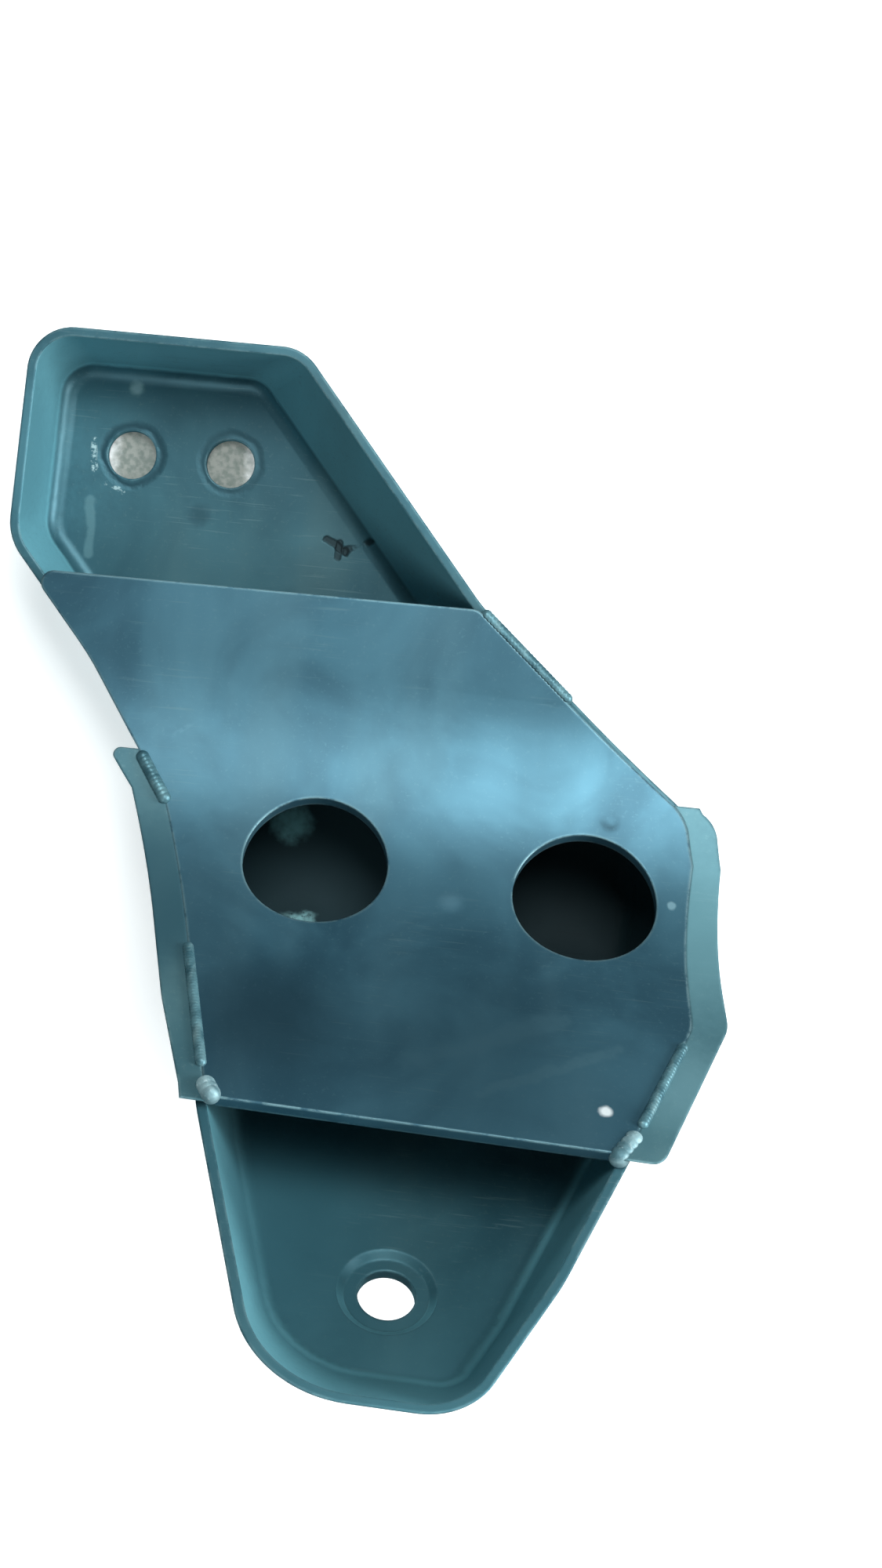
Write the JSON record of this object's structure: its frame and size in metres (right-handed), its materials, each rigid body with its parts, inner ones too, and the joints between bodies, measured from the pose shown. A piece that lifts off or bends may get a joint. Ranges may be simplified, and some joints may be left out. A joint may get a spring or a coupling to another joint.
{
  "type": "angled camera mount bracket",
  "caption": "Pressed steel bracket: a bent, flanged dish with a curved bridging plate and an outer saddle welded round its bend, bolted at both ends to carry a pan and tilt camera.",
  "frame": {"origin": "midway between the two upper bolt holes, on the outer seating face of the upper arm's floor", "axes": "+Z out of the open side of the tray, square to the upper seat; +X along the line through the two upper bolt holes, towards the side wall that slants outwards; +Y towards the upper end, away from the bend"},
  "size_m": [0.1302, 0.1639, 0.1044],
  "materials": {
    "coated_steel": "semi-gloss dark teal dip coat, lightly worn",
    "coated_weld": "coated over rough weld metal"
  },
  "bodies": {
    "root": {"base_tray": "coated_steel", "bridge_plate": "coated_steel", "bend_saddle": "coated_steel", "weld_plate_upper_right": "coated_weld", "weld_plate_left": "coated_weld", "weld_plate_lower_left": "coated_weld", "weld_plate_lower_right": "coated_weld", "weld_lip_right": "coated_weld", "weld_lip_left": "coated_weld", "weld_under_upper": "coated_weld", "weld_under_lower": "coated_weld"}
  },
  "joints": []
}
